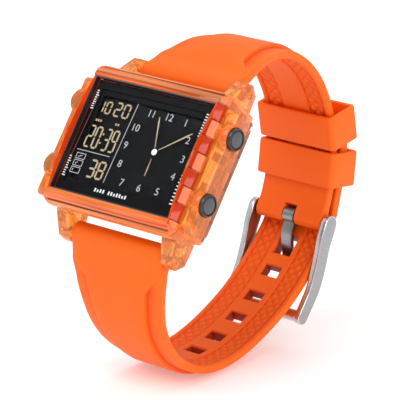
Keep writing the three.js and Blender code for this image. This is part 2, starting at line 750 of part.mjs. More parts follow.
// ---- Keepers: two loops round both layers of the strap ----
function keeper(share) {
  const p = shortLine.getPointAt(share);
  const t = shortLine.getTangentAt(share);
  const layers = 2 * strapThickness + 3 * strapGap + keeperBow;
  const across = strapEndWidth + 2 * strapGap;
  const outer = new THREE.BoxGeometry(across + 2 * keeperWall, keeperLength, layers + 2 * keeperWall);
  const inner = new THREE.BoxGeometry(across, keeperLength + 2, layers);
  const solid = solidOf(outer).subtract(solidOf(inner));
  const towardsTail = (strapThickness + strapGap) / 2;
  return { solid, p, t, towardsTail };
}
for (const [name, y] of [["keeper_upper", 25.2], ["keeper_lower", 18.3]]) {
  const share = 1 - shareAtY(middleLine(shortLine.points.map((q) => [q.y, q.z]).reverse()), y, 0, 0.5);
  const { solid, p, t, towardsTail } = keeper(share);
  const mesh = addPiece(name, solid, silicone);
  mesh.rotation.x = Math.atan2(t.z, t.y) + Math.PI;
  mesh.position.set(0, p.y - t.z * towardsTail, p.z + t.y * towardsTail);
}

// ---- Buckle: frame with two arms and a bar, its spring bar, and the tang ----
const armIn = strapEndWidth / 2 + strapGap;
const armOut = armIn + buckleArmWidth;
const crossY = -12.4;
const crossZ = -59.2;

function buckleFrame() {
  const armLine = middleLine([[pinY, pinZ], [3.6, -56.7], [-1, -58.2], [-6, -59.3], [crossY, crossZ]]);
  let solid = null;
  for (const [low, high] of [[armIn, armOut], [-armOut, -armIn]]) {
    const arm = sideSweep(strip(armLine, buckleArmDepth, 16), low, high)
      .add(roundBar(buckleArmDepth / 2, low, high, pinY, pinZ, 24))
      .add(roundBar(buckleArmDepth / 2, low, high, crossY, crossZ, 24));
    solid = solid ? solid.add(arm) : arm;
  }
  solid = solid.add(roundBar(buckleBarRadius, -armIn - 0.5, armIn + 0.5, crossY, crossZ, 20));
  return solid.subtract(roundBar(barTipRadius + sideGap, -armOut - 1, armOut + 1, pinY, pinZ, 16));
}
addPiece("buckle_frame", buckleFrame(), steel);
springBar("buckle_bar", armIn - 0.2, armOut - 0.3, pinY, pinZ);

function tang() {
  const blade = middleLine([
    [pinY - 1.2, pinZ - 0.2], [3.9, -56.8], [2.1, -57.9], [0.6, -59.4], [-0.9, -60.8], [-3.2, -61.5],
    [-8, -61.6], [crossY - 1.4, crossZ - buckleBarRadius - tangThickness / 2 - 0.3],
  ]);
  const half = tangWidth / 2;
  return sideSweep(strip(blade, tangThickness, 24), -half, half)
    .add(roundBar(barRadius + 0.9, -half, half, pinY, pinZ, 20))
    .subtract(roundBar(barRadius + sideGap, -5, 5, pinY, pinZ, 20));
}
addPiece("buckle_tang", tang(), steel);

// ---- Stand: lean back, then rest on the floor below the middle ----
const stand = new THREE.Group();
stand.add(watch);
watch.rotation.x = THREE.MathUtils.degToRad(90 - leanBack);
stand.updateMatrixWorld(true);
const box = new THREE.Box3().setFromObject(stand, true);
const middle = box.getCenter(new THREE.Vector3());
watch.position.set(-middle.x, -middle.y, -box.min.z);

export default stand;
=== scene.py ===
import json
import math

import bpy
from mathutils import Matrix, Vector

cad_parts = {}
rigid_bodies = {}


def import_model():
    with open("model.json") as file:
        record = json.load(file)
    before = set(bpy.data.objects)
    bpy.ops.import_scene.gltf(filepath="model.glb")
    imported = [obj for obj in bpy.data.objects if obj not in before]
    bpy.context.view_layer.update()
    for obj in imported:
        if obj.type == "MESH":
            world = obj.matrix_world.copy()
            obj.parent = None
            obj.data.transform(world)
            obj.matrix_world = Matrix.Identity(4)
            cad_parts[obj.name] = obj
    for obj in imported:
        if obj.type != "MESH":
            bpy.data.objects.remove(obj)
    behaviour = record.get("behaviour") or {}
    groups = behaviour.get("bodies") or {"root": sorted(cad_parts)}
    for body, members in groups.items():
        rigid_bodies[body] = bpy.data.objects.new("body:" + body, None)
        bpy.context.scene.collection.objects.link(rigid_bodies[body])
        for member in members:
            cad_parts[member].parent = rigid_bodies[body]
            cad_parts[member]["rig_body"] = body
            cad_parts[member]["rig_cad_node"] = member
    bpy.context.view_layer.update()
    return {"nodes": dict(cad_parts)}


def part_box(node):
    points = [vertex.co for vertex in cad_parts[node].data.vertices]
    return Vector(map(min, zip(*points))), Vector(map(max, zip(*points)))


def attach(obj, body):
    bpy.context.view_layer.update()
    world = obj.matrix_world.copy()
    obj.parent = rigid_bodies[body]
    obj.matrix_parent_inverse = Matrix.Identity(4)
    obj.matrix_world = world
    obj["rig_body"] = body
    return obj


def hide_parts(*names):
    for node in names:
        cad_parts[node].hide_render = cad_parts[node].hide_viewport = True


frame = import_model()

# ---- Studio: a pale plain floor under soft lamps, and a long lens on the dial ----
# The watch stands on the lower bend of its strap, with its dial leaning back. Pieces are modelled in the
# dial's own millimetres, x to 3 o'clock, y to 12 o'clock and z out of the glass, and then placed.
mm = 0.001
dial_turn = math.radians(55)
gasket_low, gasket_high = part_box("crystal_gasket")
gasket_middle = Vector((0, 0, -0.7))
turn = Matrix.Rotation(dial_turn, 4, "X")
dial_origin = (gasket_low + gasket_high) / 2 - mm * (turn @ gasket_middle)
dial_place = Matrix.Translation(dial_origin) @ turn @ Matrix.Scale(mm, 4)

camera_azimuth = math.radians(42.2)
camera_height = math.radians(16.2)
camera_distance = 0.6
camera = bpy.data.objects.new("camera", bpy.data.cameras.new("camera"))
bpy.context.collection.objects.link(camera)
backwards = Vector((
    math.sin(camera_azimuth) * math.cos(camera_height),
    -math.cos(camera_azimuth) * math.cos(camera_height),
    math.sin(camera_height),
))
camera.location = dial_origin + camera_distance * backwards
camera.rotation_euler = backwards.to_track_quat("Z", "Y").to_euler()
camera.data.lens = 276
camera.data.shift_x = 0.171
camera.data.shift_y = -0.137
camera.data.clip_start = 0.01
bpy.context.scene.camera = camera


def only(piece):
    """Makes one object the whole selection."""
    bpy.ops.object.select_all(action="DESELECT")
    piece.select_set(True)
    bpy.context.view_layer.objects.active = piece


bpy.ops.mesh.primitive_plane_add(size=3, location=(0, 0, -0.0002))
floor = bpy.context.object
floor.name = "studio_floor"
floor_paint = bpy.data.materials.new("floor paint")
floor_paint.use_nodes = True
floor_shader = floor_paint.node_tree.nodes["Principled BSDF"]
floor_shader.inputs["Base Color"].default_value = (0.93, 0.93, 0.93, 1)
floor_shader.inputs["Roughness"].default_value = 0.9
floor_shader.inputs["Emission Color"].default_value = (1, 1, 1, 1)
floor_shader.inputs["Emission Strength"].default_value = 0.22
floor.data.materials.append(floor_paint)

world = bpy.data.worlds.new("studio air")
bpy.context.scene.world = world
world.use_nodes = True
world.node_tree.nodes["Background"].inputs["Color"].default_value = (1, 1, 1, 1)
world.node_tree.nodes["Background"].inputs["Strength"].default_value = 0.66
bpy.context.scene.view_settings.view_transform = "Standard"


def soft_lamp(name, azimuth, height, distance, size, power):
    """A square lamp that looks at the dial from this direction, in degrees and metres."""
    lamp = bpy.data.objects.new(name, bpy.data.lights.new(name, "AREA"))
    bpy.context.collection.objects.link(lamp)
    a, e = math.radians(azimuth), math.radians(height)
    away = Vector((math.sin(a) * math.cos(e), -math.cos(a) * math.cos(e), math.sin(e)))
    lamp.location = dial_origin + distance * away
    lamp.rotation_euler = away.to_track_quat("Z", "Y").to_euler()
    lamp.data.size = size
    lamp.data.energy = power


soft_lamp("key lamp", -15, 55, 0.7, 0.5, 2.0)
soft_lamp("side lamp", 80, 25, 0.7, 0.4, 1.4)
soft_lamp("back lamp", 190, 50, 0.8, 0.5, 1.2)

# ---- Clear case: bezel and case body, moulded in see-through orange plastic ----
# The bezel is arched like the glass, with cut facets down its flanks. The body carries four lugs, and
# on each side a guard on ribs. Its flanks are painted in tan, amber and red patches of light and shade.
half_y = 12.35  # the bezel's window
facet_pitch = 2 * half_y / 7
facet_height = 2.05
flank_x = 15.95  # the facets begin here
guard_x = 18.0  # and the guards here
lug_y = 15.3


def smooth(piece, angle):
    """Shades a piece smooth, except where its faces meet at more than this angle."""
    only(piece)
    bpy.ops.object.shade_smooth_by_angle(angle=math.radians(angle))


def round_edges(piece, width, segments, angle):
    """Rounds the edges where faces meet at more than this angle."""
    only(piece)
    bevel = piece.modifiers.new("edges", "BEVEL")
    bevel.width = width
    bevel.segments = segments
    bevel.angle_limit = math.radians(angle)
    bpy.ops.object.modifier_apply(modifier="edges")


def worked_copy(node, name, edge, segments=2, angle=28):
    """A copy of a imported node, with flats in place of triangles and edges rounded by this much."""
    piece = frame["nodes"][node].copy()
    piece.data = piece.data.copy()
    piece.name = name
    piece.parent = None
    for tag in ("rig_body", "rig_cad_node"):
        del piece[tag]
    bpy.context.collection.objects.link(piece)
    only(piece)
    bpy.ops.object.mode_set(mode="EDIT")
    bpy.ops.mesh.select_all(action="SELECT")
    bpy.ops.mesh.remove_doubles(threshold=2e-6)
    bpy.ops.mesh.dissolve_limited(angle_limit=math.radians(0.6))
    bpy.ops.object.mode_set(mode="OBJECT")
    round_edges(piece, edge * mm, segments, angle)
    smooth(piece, 35)
    piece.data.materials.clear()
    return piece


def new_material(name, colour, roughness, metallic=0.0):
    """A material with one Principled shader, and that shader."""
    material = bpy.data.materials.new(name)
    material.use_nodes = True
    shader = material.node_tree.nodes["Principled BSDF"]
    shader.inputs["Base Color"].default_value = (*colour, 1)
    shader.inputs["Roughness"].default_value = roughness
    shader.inputs["Metallic"].default_value = metallic
    return material, shader


def add(material, kind, **inputs):
    """A node in the material, with values or links on its named inputs."""
    node = material.node_tree.nodes.new("ShaderNode" + kind)
    for name, value in inputs.items():
        feed(material, value, node.inputs[name.replace("_", " ")])
    return node


def feed(material, value, socket):
    """Links a value to a socket, or sets the socket to it."""
    if isinstance(value, bpy.types.NodeSocket):
        material.node_tree.links.new(value, socket)
    else:
        socket.default_value = value


def sums(material, operation, first, second=0.0):
    """The value of one sum on two values."""
    node = material.node_tree.nodes.new("ShaderNodeMath")
    node.operation = operation
    feed(material, first, node.inputs[0])
    feed(material, second, node.inputs[1])
    return node.outputs[0]


def ramp(material, value, stops, steps=False):
    """A colour ramp over a value from 0 to 1. Each stop is a place and a colour."""
    node = material.node_tree.nodes.new("ShaderNodeValToRGB")
    if steps:
        node.color_ramp.interpolation = "CONSTANT"
    while len(node.color_ramp.elements) < len(stops):
        node.color_ramp.elements.new(0.5)
    for element, (place, colour) in zip(node.color_ramp.elements, stops):
        element.position = place
        element.color = (*colour, 1)
    feed(material, value, node.inputs["Fac"])
    return node.outputs["Color"]


def blend_colours(material, share, first, second):
    """The first colour, and this share of the second over it."""
    node = material.node_tree.nodes.new("ShaderNodeMix")
    node.data_type = "RGBA"
    feed(material, share, node.inputs["Factor"])
    for value, socket in ((first, node.inputs[6]), (second, node.inputs[7])):
        feed(material, value if isinstance(value, bpy.types.NodeSocket) else (*value, 1), socket)
    return node.outputs[2]


def dial_axes(material):
    """The dial's own x, y and z of each surface point, in millimetres."""
    place = add(material, "TexCoord").outputs["Object"]
    mapping = add(
        material, "Mapping", Vector=place, Location=dial_place.inverted().translation,
        Rotation=(-dial_turn, 0, 0), Scale=(1 / mm, 1 / mm, 1 / mm)
    )
    parts = add(material, "SeparateXYZ", Vector=mapping.outputs["Vector"])
    return mapping.outputs["Vector"], parts.outputs[0], parts.outputs[1], parts.outputs[2]


def grain_group():
    """Fine uneven skin of a moulded or worked surface: a normal, and the unevenness itself as a value."""
    group = bpy.data.node_groups.new("surface grain", "ShaderNodeTree")
    group.interface.new_socket("Fineness", in_out="INPUT", socket_type="NodeSocketFloat")
    group.interface.new_socket("Depth", in_out="INPUT", socket_type="NodeSocketFloat")
    group.interface.new_socket("Normal", in_out="OUTPUT", socket_type="NodeSocketVector")
    group.interface.new_socket("Value", in_out="OUTPUT", socket_type="NodeSocketFloat")
    entry = group.nodes.new("NodeGroupInput")
    leave = group.nodes.new("NodeGroupOutput")
    place = group.nodes.new("ShaderNodeTexCoord")
    noise = group.nodes.new("ShaderNodeTexNoise")
    noise.inputs["Detail"].default_value = 4
    bump = group.nodes.new("ShaderNodeBump")
    bump.inputs["Strength"].default_value = 1
    group.links.new(place.outputs["Object"], noise.inputs["Vector"])
    group.links.new(entry.outputs["Fineness"], noise.inputs["Scale"])
    group.links.new(noise.outputs["Fac"], bump.inputs["Height"])
    group.links.new(entry.outputs["Depth"], bump.inputs["Distance"])
    group.links.new(bump.outputs["Normal"], leave.inputs["Normal"])
    group.links.new(noise.outputs["Fac"], leave.inputs["Value"])
    return group


surface_grain = grain_group()


def grain(material, fineness, depth):
    """Places the grain group: features per metre, and their depth in metres."""
    node = material.node_tree.nodes.new("ShaderNodeGroup")
    node.node_tree = surface_grain
    node.inputs["Fineness"].default_value = fineness
    node.inputs["Depth"].default_value = depth
    return node


def rough_up(material, shader, fineness, depth):
    """Gives a shader the grain's bumps, and returns the grain's unevenness."""
    node = grain(material, fineness, depth)
    feed(material, node.outputs["Normal"], shader.inputs["Normal"])
    return node.outputs["Value"]


def edge_group():
    """How far a surface point lies on an outside edge, from 0 to 1."""
    group = bpy.data.node_groups.new("edge light", "ShaderNodeTree")
    group.interface.new_socket("Reach", in_out="INPUT", socket_type="NodeSocketFloat")
    group.interface.new_socket("Mask", in_out="OUTPUT", socket_type="NodeSocketFloat")
    entry = group.nodes.new("NodeGroupInput")
    leave = group.nodes.new("NodeGroupOutput")
    geometry = group.nodes.new("ShaderNodeNewGeometry")
    span = group.nodes.new("ShaderNodeMapRange")
    span.inputs["From Min"].default_value = 0.52
    group.links.new(entry.outputs["Reach"], span.inputs["From Max"])
    group.links.new(geometry.outputs["Pointiness"], span.inputs["Value"])
    group.links.new(span.outputs["Result"], leave.inputs["Mask"])
    return group


edge_light = edge_group()


def edges(material, reach=0.6):
    """Places the edge group, and gives its mask."""
    node = material.node_tree.nodes.new("ShaderNodeGroup")
    node.node_tree = edge_light
    node.inputs["Reach"].default_value = reach
    return node.outputs["Mask"]


amber = (1.0, 0.2, 0.003)
tan_orange = (1.0, 0.24, 0.04)
deep_orange = (0.98, 0.1, 0.001)
red_orange = (0.68, 0.05, 0.001)
dark_brown = (0.08, 0.01, 0.003)


def clear_plastic(name, see_through):
    """See-through orange plastic with random patches, and painted light and shade: bands, streaks, lit
    facets, glints, a glow.
    """
    material, shader = new_material(name, deep_orange, 0.04)
    vector, x, y, z = dial_axes(material)

    def worked(operation, first, second=0.0):
        return sums(material, operation, first, second)

    along = worked("DIVIDE", worked("ADD", y, 20.0), 40.0)

    def at(place):
        return (place + 20) / 40

    # Painted light and shade along y: the dark-brown lines are the dark inner frame seen through the
    # plastic, and the tan lines beside them are painted highlights.
    bands = ramp(material, along, [
        (at(-19), amber), (at(-15.6), deep_orange), (at(-14.9), tan_orange), (at(-14.4), dark_brown),
        (at(-14.1), tan_orange), (at(-13.9), deep_orange), (at(-13.1), tan_orange),
        (at(-12.5), deep_orange), (at(0), red_orange), (at(12.5), deep_orange), (at(13.0), tan_orange),
        (at(13.5), dark_brown), (at(13.7), tan_orange), (at(14.3), tan_orange), (at(14.5), dark_brown),
        (at(14.8), amber),
    ])
    # Painted reflections: dark-brown and light streaks at the 12 and 6 o'clock ends stand for light inside
    # the clear plastic.
    painted_streak_space = add(material, "Mapping", Vector=vector, Scale=(0.04, 1.9, 1.9))
    painted_streaks = add(material, "TexNoise", Vector=painted_streak_space.outputs[0], Scale=1.0, Detail=2.0).outputs["Fac"]
    at_end = worked("GREATER_THAN", worked("ABSOLUTE", y), half_y)
    for low, high, share, tone in ((0.5, 0.62, 0.75, dark_brown), (0.47, 0.36, 0.6, (1.0, 0.42, 0.14))):
        streak_share = add(material, "MapRange", Value=painted_streaks, From_Min=low, From_Max=high, To_Max=share)
        bands = blend_colours(material, worked("MULTIPLY", streak_share.outputs[0], at_end), bands, tone)
    # Painted light on the flank facets: a tan and red checker for lit and shaded facets, and painted shade
    # along one edge of each facet.
    tiles = add(material, "CombineXYZ", X=0.5)
    facet_place = worked("DIVIDE", worked("ADD", y, half_y), facet_pitch)
    facet_row = worked("DIVIDE", worked("ADD", z, 6.2), facet_height)
    feed(material, facet_place, tiles.inputs["Y"])
    feed(material, facet_row, tiles.inputs["Z"])
    checker = add(
        material, "TexChecker", Vector=tiles.outputs[0], Scale=1.0,
        Color1=(*tan_orange, 1), Color2=(*red_orange, 1)
    )
    out_x = worked("ABSOLUTE", x)
    out_y = worked("ABSOLUTE", y)
    flank = worked("GREATER_THAN", out_x, flank_x)
    low_flank = worked("MULTIPLY", flank, worked("LESS_THAN", out_x, guard_x))
    colour = blend_colours(material, low_flank, bands, checker.outputs["Color"])
    along_facet = worked("FRACT", facet_place)
    facet_edge_shade = worked("MULTIPLY", worked("LESS_THAN", along_facet, 0.09), low_flank)
    colour = blend_colours(material, worked("MULTIPLY", facet_edge_shade, 0.75), colour, dark_brown)
    streaks = add(material, "Mapping", Vector=vector, Scale=(1, 0.45, 1))
    spots = add(material, "TexNoise", Vector=streaks.outputs[0], Scale=0.8, Detail=2.0).outputs["Fac"]
    mottle_and_painted_light = ramp(material, spots, [
        (0.36, (0.16, 0.006, 0.001)), (0.44, red_orange), (0.5, deep_orange), (0.6, amber),
        (0.7, tan_orange),
    ])
    guard = worked("GREATER_THAN", out_x, guard_x)
    # Painted reflections on the guards and lugs: near-black and dark-brown lines, and a light orange line
    # as a painted highlight, over the random patches.
    streak_noise = add(material, "TexNoise", Vector=streaks.outputs[0], Scale=0.5, Detail=1.0).outputs["Fac"]
    for level, width, share, tone in ((0.5, 0.03, 0.95, dark_brown), (0.57, 0.025, 0.7, (1.0, 0.5, 0.1)),
                                      (0.42, 0.03, 0.95, (0.12, 0.005, 0.001))):
        away = worked("ABSOLUTE", worked("SUBTRACT", streak_noise, level))
        streak_line = add(material, "MapRange", Value=away, From_Min=width, From_Max=width / 2, To_Max=share)
        mottle_and_painted_light = blend_colours(material, streak_line.outputs[0], mottle_and_painted_light, tone)
    wave = worked("MULTIPLY", worked("SINE", worked("MULTIPLY", y, 0.9)), 0.3)
    off_line = worked("ABSOLUTE", worked("ADD", worked("ADD", z, 4.6), wave))
    on_line = worked("MULTIPLY", worked("LESS_THAN", off_line, 0.16), guard)
    mottle_and_painted_light = blend_colours(material, worked("MULTIPLY", on_line, 0.8), mottle_and_painted_light, dark_brown)
    # Painted highlight: the front of each guard is lightened to amber.
    painted_lit_front = worked("MULTIPLY", worked("GREATER_THAN", z, -2.4), guard)
    mottle_and_painted_light = blend_colours(material, worked("MULTIPLY", painted_lit_front, 0.75), mottle_and_painted_light, amber)
    lug = worked("GREATER_THAN", out_y, lug_y)
    outer = worked("MAXIMUM", guard, lug)
    colour = blend_colours(material, outer, colour, mottle_and_painted_light)
    # Painted glints: outside edges are lightened towards a bright orange.
    glint = worked("MULTIPLY", edges(material, 0.62), 0.55)
    colour = blend_colours(material, glint, colour, (1.0, 0.42, 0.08))
    feed(material, colour, shader.inputs["Base Color"])
    # Painted glow: the plastic gives out light in its own colour, standing in for light scattered inside
    # it.
    feed(material, colour, shader.inputs["Emission Color"])
    shader.inputs["Emission Strength"].default_value = 0.12
    rough_up(material, shader, 900, 0.00002)
    shader.inputs["Transmission Weight"].default_value = see_through
    shader.inputs["IOR"].default_value = 1.5
    shader.inputs["Specular IOR Level"].default_value = 0.35
    return material


bezel_plastic = clear_plastic("clear bezel plastic", 0.55)
bezel = worked_copy("bezel", "bezel_shell", 0.22, 3)
bezel.data.materials.append(bezel_plastic)
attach(bezel, "watch")
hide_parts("bezel")

case_plastic = clear_plastic("clear case plastic", 0.8)
case = worked_copy("case_body", "case_shell", 0.2, 2)
case.data.materials.append(case_plastic)
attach(case, "watch")
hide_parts("case_body")

# ---- Crystal: a slab of mineral glass, flat below and arched from 12 to 6 o'clock ----
# It sits in a thin grey gasket, and its edges are polished.
glass_half = Vector((15.4, 11.85))
glass_rise = 1.1
glass_edge = 1.3
arch_radius = (glass_half.y ** 2 + glass_rise ** 2) / (2 * glass_rise)

bpy.ops.mesh.primitive_cube_add(size=2)
crystal = bpy.context.object
crystal.name = "watch_glass"
bpy.ops.object.mode_set(mode="EDIT")
bpy.ops.mesh.select_all(action="SELECT")
bpy.ops.mesh.subdivide(number_cuts=23)
bpy.ops.object.mode_set(mode="OBJECT")
for vertex in crystal.data.vertices:
    x, y, z = vertex.co
    y *= glass_half.y
    crown = glass_rise - arch_radius + math.sqrt(arch_radius ** 2 - y ** 2)
    vertex.co = (x * glass_half.x, y, -glass_edge + (z + 1) / 2 * (crown + glass_edge))
round_edges(crystal, 0.18, 3, 40)
smooth(crystal, 40)


def place(piece, name, body, slot, *nodes):
    """Puts a piece modelled in the dial's millimetres in its place, on its body, and hides the nodes it
    replaces.
    """
    piece.name = name
    piece.data.name = name
    only(piece)
    piece.matrix_world = dial_place
    bpy.ops.object.transform_apply(location=True, rotation=True, scale=True)
    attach(piece, body)
    if nodes:
        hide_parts(*nodes)


glass, glass_shader = new_material("mineral glass", (0.93, 0.95, 0.97), 0.0)
glass_shader.inputs["Transmission Weight"].default_value = 1.0
glass_shader.inputs["IOR"].default_value = 1.02
rough_up(glass, glass_shader, 60, 0.000001)
path = add(glass, "LightPath")
clear = add(glass, "BsdfTransparent")
mixer = add(glass, "MixShader")
feed(glass, path.outputs["Is Shadow Ray"], mixer.inputs[0])
feed(glass, glass_shader.outputs[0], mixer.inputs[1])
feed(glass, clear.outputs[0], mixer.inputs[2])
feed(glass, mixer.outputs[0], glass.node_tree.nodes["Material Output"].inputs["Surface"])
crystal.data.materials.append(glass)
place(crystal, "watch_glass", "watch", "crystal_glass", "crystal")


def finish_node(names, material):
    """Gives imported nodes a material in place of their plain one."""
    for name in names:
        mesh = frame["nodes"][name].data
        mesh.materials.clear()
        mesh.materials.append(material)


gasket_rubber, shader = new_material("gasket rubber", (0.05, 0.08, 0.09), 0.45)
rubber_grain = rough_up(gasket_rubber, shader, 2500, 0.00002)
z = dial_axes(gasket_rubber)[3]
# Painted highlight: the top rim, above z -0.1 in the dial's axes, is a lighter grey-teal; below it the
# rubber is near black.
painted_rim_light = blend_colours(gasket_rubber, rubber_grain, (0.06, 0.1, 0.11), (0.14, 0.2, 0.21))
lit_rim_mask = sums(gasket_rubber, "GREATER_THAN", z, -0.1)
feed(gasket_rubber, blend_colours(gasket_rubber, lit_rim_mask, (0.01, 0.012, 0.013), painted_rim_light),
     shader.inputs["Base Color"])
pusher_spots = ("2h", "4h", "8h", "10h")
finish_node([f"pusher_seal_{spot}" for spot in pusher_spots], gasket_rubber)
finish_node(["crystal_gasket", "case_back_gasket"], gasket_rubber)
finish_node(["contact_strip_12h", "contact_strip_6h"], gasket_rubber)

# ---- Display: a black liquid crystal panel behind a black mask ----
# Its lit segments are beige. The dial's numbers, the dividing lines and the small marks are printed in grey
# and white on the underside of the glass.
print_z = -1.42
glass_print_z = -1.22
digit_beige = (0.5, 0.38, 0.22)
print_grey = (0.46, 0.47, 0.47)


def flat_black(name, colour):
    """Black with a painted sheen: its colour lightens a little towards the 12 o'clock end."""
    material, shader = new_material(name, colour, 0.35)
    shader.inputs["Specular IOR Level"].default_value = 0.06
    y = dial_axes(material)[2]
    rise = sums(material, "DIVIDE", sums(material, "ADD", y, 12.0), 24.0)
    lighter = tuple(2 * c for c in colour)
    feed(material, ramp(material, rise, [(0.0, colour), (0.7, colour), (1.0, lighter)]),
         shader.inputs["Base Color"])
    rough_up(material, shader, 2000, 0.0000004)
    return material


mask_paint = flat_black("mask paint", (0.005, 0.005, 0.0055))
finish_node(["dial_mask"], mask_paint)
finish_node(["lcd_panel"], flat_black("display black", (0.008, 0.008, 0.0085)))


def printed(name, colour, glow=0.0):
    """Ink or a lit segment, a little uneven as print is, and given a painted glow of this strength."""
    material, shader = new_material(name, colour, 0.5)
    ink = grain(material, 6000, 0.000003)
    darker = tuple(0.75 * c for c in colour)
    tint = blend_colours(material, ink.outputs["Value"], darker, colour)
    feed(material, tint, shader.inputs["Base Color"])
    # Painted glow: the print gives out a little light of its own colour.
    feed(material, tint, shader.inputs["Emission Color"])
    shader.inputs["Emission Strength"].default_value = glow
    return material


segment_ink = printed("lit segments", digit_beige, 0.1)
number_ink = printed("grey print", print_grey, 0.05)
white_ink = printed("white print", (0.8, 0.81, 0.81), 0.1)
rust_ink = printed("rust line", (0.16, 0.045, 0.012), 0.1)


def joined(pieces):
    """Joins these pieces into the first of them."""
    only(pieces[0])
    for piece in pieces:
        piece.select_set(True)
    if len(pieces) > 1:
        bpy.ops.object.join()
    return bpy.context.object


def flat_piece(outlines, level=print_z):
    """One thin flat mesh from outlines of x and y, each a list of points turning left."""
    flats = []
    for outline in outlines:
        bpy.ops.mesh.primitive_circle_add(vertices=len(outline), fill_type="NGON")
        flat = bpy.context.object
        for vertex, (x, y) in zip(flat.data.vertices, outline):
            vertex.co = (x, y, level)
        flats.append(flat)
    piece = joined(flats)
    thicken(piece)
    return piece


def thicken(piece):
    """Turns a flat print into a closed skin as thick as ink."""
    only(piece)
    bpy.ops.object.mode_set(mode="EDIT")
    bpy.ops.mesh.select_all(action="SELECT")
    bpy.ops.mesh.normals_make_consistent(inside=False)
    bpy.ops.object.mode_set(mode="OBJECT")
    wall = piece.modifiers.new("ink", "SOLIDIFY")
    wall.thickness = 0.03
    wall.offset = 0
    bpy.ops.object.modifier_apply(modifier="ink")


def bar(x0, y0, x1, y1, width, taper=0.5):
    """A straight bar between two points, its ends pointed over this share of its width."""
    a, b = Vector((x0, y0)), Vector((x1, y1))
    ahead = (b - a).normalized()
    side = Vector((-ahead.y, ahead.x)) * width / 2
    point = ahead * width * taper
    corners = [a, a + point - side, b - point - side, b, b - point + side, a + point + side]
    return [tuple(c) for c in corners]


lit_segments = {
    "0": "abcdef", "1": "bc", "2": "abged", "3": "abgcd", "4": "fgbc", "5": "afgcd", "6": "afgedc",
    "7": "abc", "8": "abcdefg", "9": "abcdfg",
}


def digit(value, x, y, width, height, stroke):
    """The lit bars of one seven-segment digit, whose lower left corner is at x, y."""
    gap = stroke * 0.18
    left, right = x + stroke / 2, x + width - stroke / 2
    low, middle, high = y + stroke / 2, y + height / 2, y + height - stroke / 2
    bars = {
        "a": (left + gap, high, right - gap, high), "g": (left + gap, middle, right - gap, middle),
        "d": (left + gap, low, right - gap, low), "f": (left, middle + gap, left, high - gap),
        "b": (right, middle + gap, right, high - gap), "e": (left, low + gap, left, middle - gap),
        "c": (right, low + gap, right, middle - gap),
    }
    return [bar(*bars[letter], stroke) for letter in lit_segments[value]]


def block(x, y, width, height):
    """A plain upright block, whose lower left corner is at x, y."""
    return [(x, y), (x + width, y), (x + width, y + height), (x, y + height)]


segments = []
for value, x in (("1", -13.2), ("0", -11.3)):
    segments += digit(value, x, 5.2, 1.5, 2.7, 0.3)
for value, x in (("2", -8.9), ("0", -6.7)):
    segments += digit(value, x, 5.1, 1.75, 3.1, 0.34)
for value, x in (("2", -13.0), ("0", -11.1), ("3", -8.5), ("9", -6.6)):
    segments += digit(value, x, -2.3, 1.6, 4.8, 0.36)
segments += [block(-9.25, 0.9, 0.38, 0.38), block(-9.25, -1.0, 0.38, 0.38)]
for value, x in (("3", -9.3), ("8", -7.0)):
    segments += digit(value, x, -8.2, 1.95, 3.9, 0.4)
for x in (-12.5, -11.9, -11.3, -7.2, -6.6):
    segments.append(block(x, 3.4, 0.4, 0.45))
lcd_digits = flat_piece(segments)
lcd_digits.data.materials.append(segment_ink)
place(lcd_digits, "lit_segments", "watch", "display_face")

box_left, box_right, box_height = -13.5, -11.2, 1.15
lines = [bar(-4.2, -8.4, -3.7, 8.8, 0.15, 0), bar(-14.1, -3.05, -5.3, -3.05, 0.14, 0)]
for row in range(3):
    low = -7.9 + 1.5 * row
    high = low + box_height
    for side_x, side_y, end_x, end_y in (
        (box_left, low, box_right, low), (box_left, high, box_right, high),
        (box_left, low, box_left, high), (box_right, low, box_right, high),
    ):
        lines.append(bar(side_x, side_y, end_x, end_y, 0.14, 0))
    lines.append(bar(box_left + 0.5, low + 0.35, box_left + 0.5 + 0.5 * row, low + 0.8, 0.16, 0))
display_lines = flat_piece(lines)
display_lines.data.materials.append(number_ink)
place(display_lines, "display_lines", "watch", "display_face")

border = flat_piece([
    block(-15.38, -11.83, 30.76, 1.68), block(-15.38, 10.15, 30.76, 1.68),
    block(-15.38, -10.15, 1.48, 20.3), block(13.9, -10.15, 1.48, 20.3),
], -1.27)
border.data.materials.append(mask_paint)
place(border, "glass_border_print", "watch", "display_face")

rust_line = flat_piece([bar(-14.6, -4.7, -14.1, 8.3, 0.14, 0)], glass_print_z)
rust_line.data.materials.append(rust_ink)
place(rust_line, "rust_line", "watch", "display_face")

# The small marks stand where such a dial carries its lettering: rows of plain ticks.
marks = []
for column, low, high in ((-14.9, 5.6, 9.4), (-14.9, -9.0, -4.9), (13.6, 5.2, 9.8), (13.6, -9.2, -3.2)):
    count = 9
    for i in range(count):
        y = low + (high - low) * i / (count - 1)
        marks.append(block(column, y, 0.5 + 0.25 * ((i * 5) % 3 == 0), 0.22))
for i in range(12):
    if i != 4:
        marks.append(block(-5.4 + 0.72 * i, -10.6, 0.36, 0.75 - 0.2 * (i % 3 == 1)))
small_marks = flat_piece(marks, glass_print_z)
small_marks.data.materials.append(white_ink)
place(small_marks, "small_marks", "watch", "display_face")

